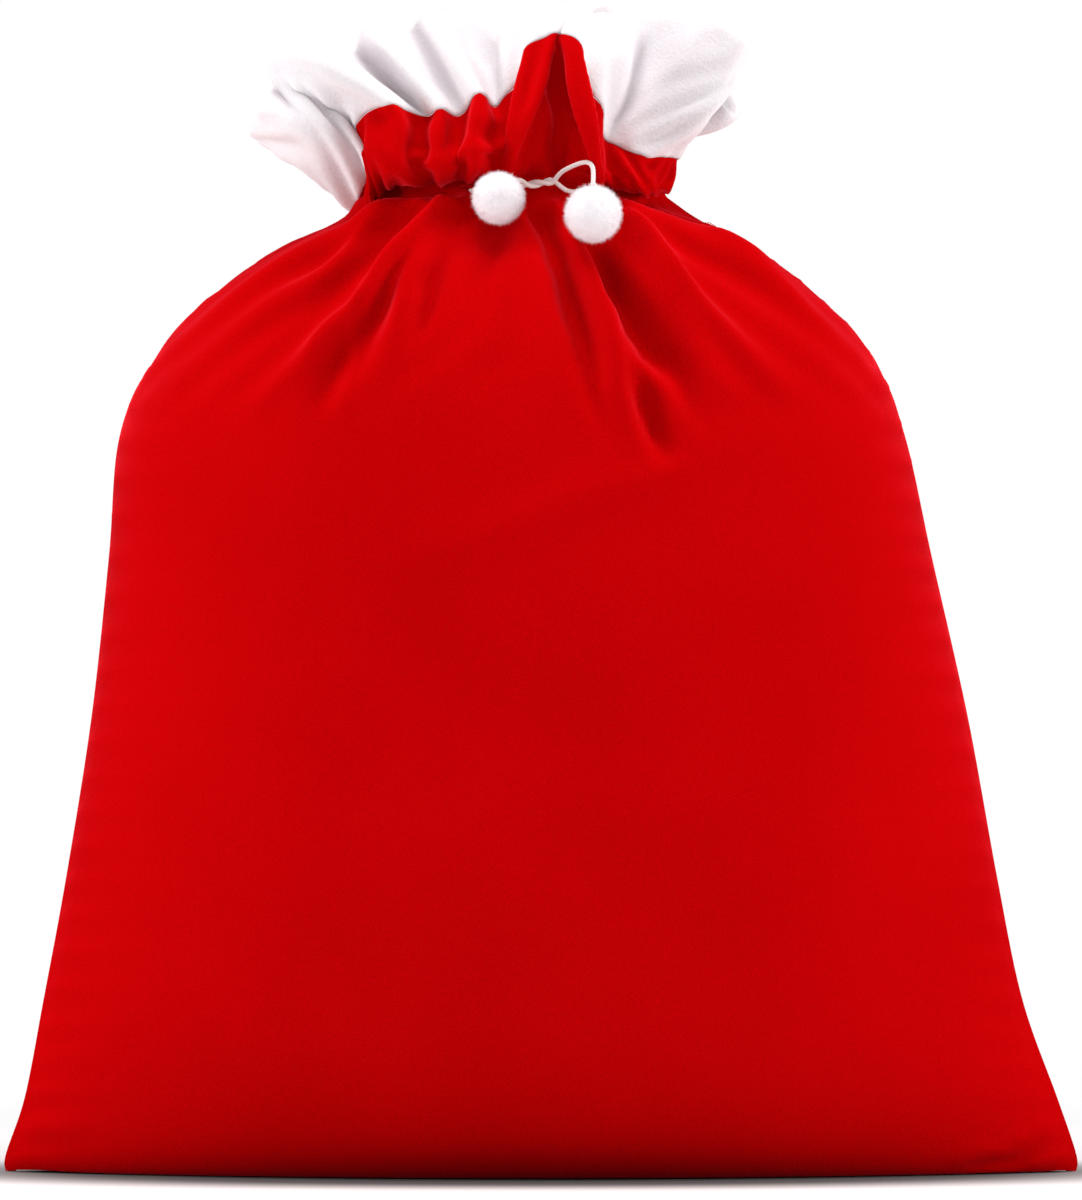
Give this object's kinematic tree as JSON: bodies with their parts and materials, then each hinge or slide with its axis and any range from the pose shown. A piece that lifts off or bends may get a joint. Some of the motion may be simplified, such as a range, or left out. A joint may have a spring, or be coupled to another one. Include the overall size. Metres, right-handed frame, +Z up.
{
  "type": "drawstring gift sack",
  "caption": "Large soft gift sack standing filled: red velvet body gathered at the neck by a twisted drawstring with pompom ends, under a white plush ruffled cuff.",
  "frame": {"origin": "middle of the footprint, on the floor, measured without the free cord ends and pompoms", "axes": "+Z up from the base to the open mouth; the front, with the drawstring and pompoms, faces -Y; +X is towards the viewer's right when looking at the front"},
  "size_m": [0.8024, 0.34, 0.8749],
  "materials": {
    "velvet": "soft red velvet with a short pile",
    "plush": "white plush with a soft pile",
    "casing_tape": "matt red woven tape",
    "seam_binding": "matt red overlocked edge",
    "cuff_binding": "matt white overlocked edge",
    "red_thread": "red sewing thread",
    "white_thread": "white sewing thread",
    "cord": "twisted ivory cord with a slight sheen",
    "yarn": "fluffy white yarn"
  },
  "bodies": {
    "sack": {"front_panel": "velvet", "back_panel": "velvet", "front_cuff": "plush", "back_cuff": "plush", "front_casing": "casing_tape", "back_casing": "casing_tape", "casing_lower_thread": "red_thread", "casing_upper_thread": "red_thread", "cuff_seam_thread": "white_thread", "left_side_seam": "seam_binding", "right_side_seam": "seam_binding", "bottom_seam": "seam_binding", "left_cuff_seam": "cuff_binding", "right_cuff_seam": "cuff_binding", "left_buttonhole": "red_thread", "right_buttonhole": "red_thread", "drawstring_loop": "cord", "drawstring_left_end": "cord", "drawstring_right_end": "cord"},
    "left_tail": {"left_cord_tail": "cord", "left_cord_knot": "cord"},
    "left_ball": {"left_pompom": "yarn"},
    "right_tail": {"right_cord_tail": "cord", "right_cord_knot": "cord"},
    "right_ball": {"right_pompom": "yarn"}
  },
  "joints": [
    {"name": "left_tail_sway", "type": "hinge", "parent": "sack", "child": "left_tail", "pos_m": [-0.0142, -0.0735, 0.7385], "axis": [0, 0, 1], "range_deg": [-18, 25]},
    {"name": "left_pompom_swing", "type": "hinge", "parent": "left_tail", "child": "left_ball", "pos_m": [-0.02348, -0.08402, 0.73645], "axis": [-1, 0, 0], "range_deg": [0, 70]},
    {"name": "right_tail_sway", "type": "hinge", "parent": "sack", "child": "right_tail", "pos_m": [0.0385, -0.0955, 0.7465], "axis": [0, 1, 0], "range_deg": [-22, 22]},
    {"name": "right_pompom_swing", "type": "hinge", "parent": "right_tail", "child": "right_ball", "pos_m": [0.0385, -0.10194, 0.73364], "axis": [-1, 0, 0], "range_deg": [0, 70]}
  ]
}
